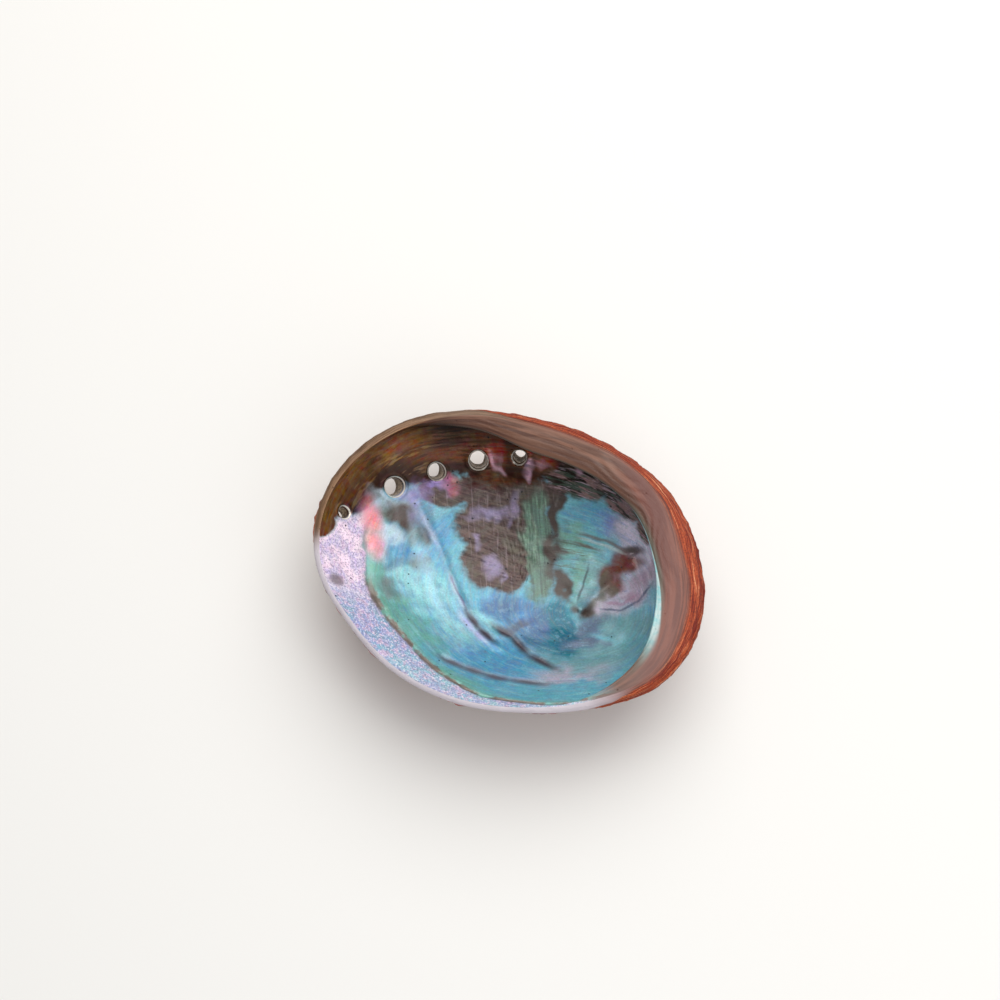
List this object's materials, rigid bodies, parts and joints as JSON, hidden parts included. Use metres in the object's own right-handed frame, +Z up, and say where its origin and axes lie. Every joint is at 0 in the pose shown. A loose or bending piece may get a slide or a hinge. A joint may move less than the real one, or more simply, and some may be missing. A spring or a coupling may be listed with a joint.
{
  "type": "abalone shell",
  "caption": "Empty abalone shell lying open side up: a shallow pearly bowl with a broad ledge along one side and a row of breathing pores through the wall.",
  "frame": {"origin": "under the middle of the shell's box, on the surface that its worn back lies on", "axes": "+X along the shell towards the spire end, +Y across it towards the ledge and the pores, +Z up out of the open side"},
  "size_m": [0.1749, 0.1459, 0.0471],
  "materials": {
    "nacre": "glossy pearly lining"
  },
  "bodies": {
    "root": {"shell": "nacre"}
  },
  "joints": []
}
